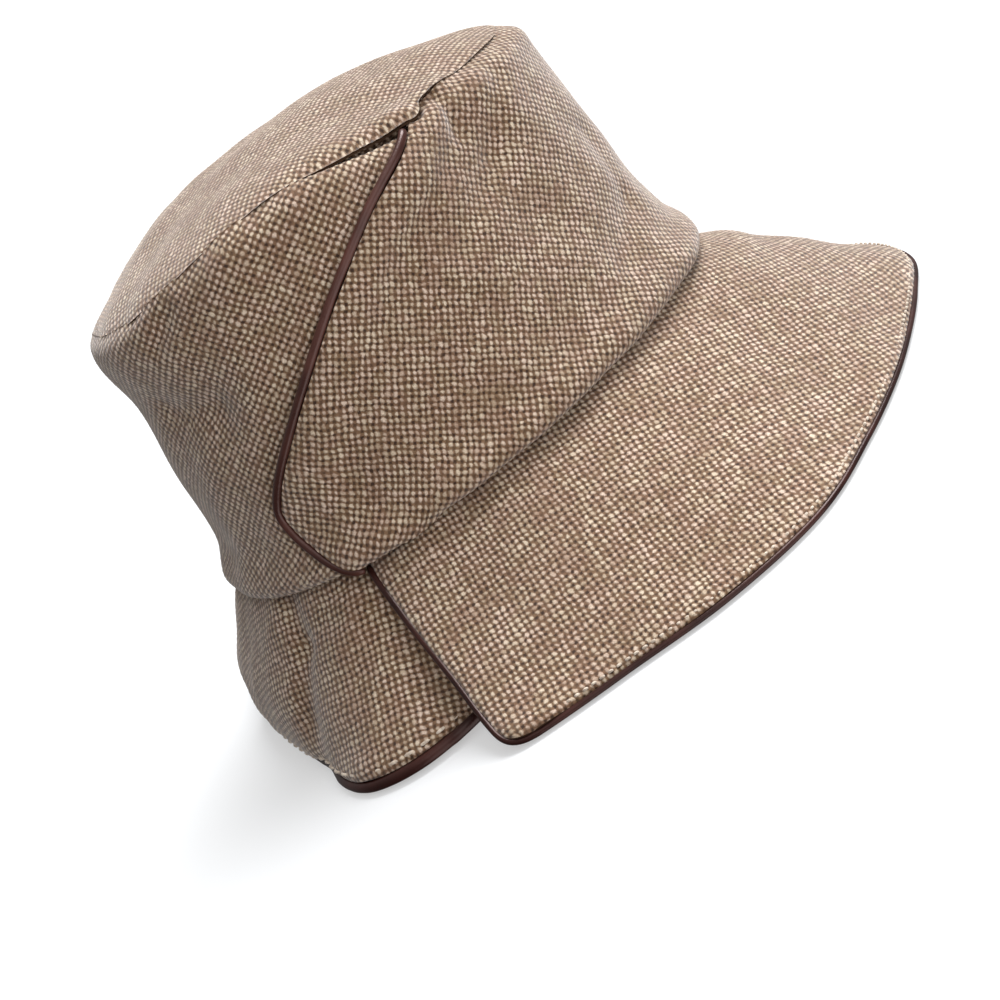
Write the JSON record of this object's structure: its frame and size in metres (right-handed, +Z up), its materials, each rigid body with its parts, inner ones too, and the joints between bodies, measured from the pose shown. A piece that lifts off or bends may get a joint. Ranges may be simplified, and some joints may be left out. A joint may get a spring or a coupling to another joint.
{
  "type": "tweed bucket hat",
  "caption": "Soft bucket hat of woven tweed with an oval tip, overlapping crown panels, a wide front brim over a short rippled back brim, and leather piping along its free edges.",
  "frame": {"origin": "centre of the hat's box, on the surface that its brim rests on", "axes": "+Z up through the crown, -Y the way the wearer faces, -X the wearer's right"},
  "size_m": [0.292, 0.282, 0.1738],
  "materials": {
    "tweed": "coarse basket weave of cream flecks on brown, matt and slightly fuzzy",
    "leather": "smooth dark brown, half glossy"
  },
  "bodies": {
    "root": {"crown_tip": "tweed", "crown_front": "tweed", "crown_back": "tweed", "brim_front": "tweed", "brim_back": "tweed", "crown_piping_right": "leather", "crown_piping_left": "leather", "brim_front_piping": "leather", "brim_back_piping": "leather"}
  },
  "joints": []
}
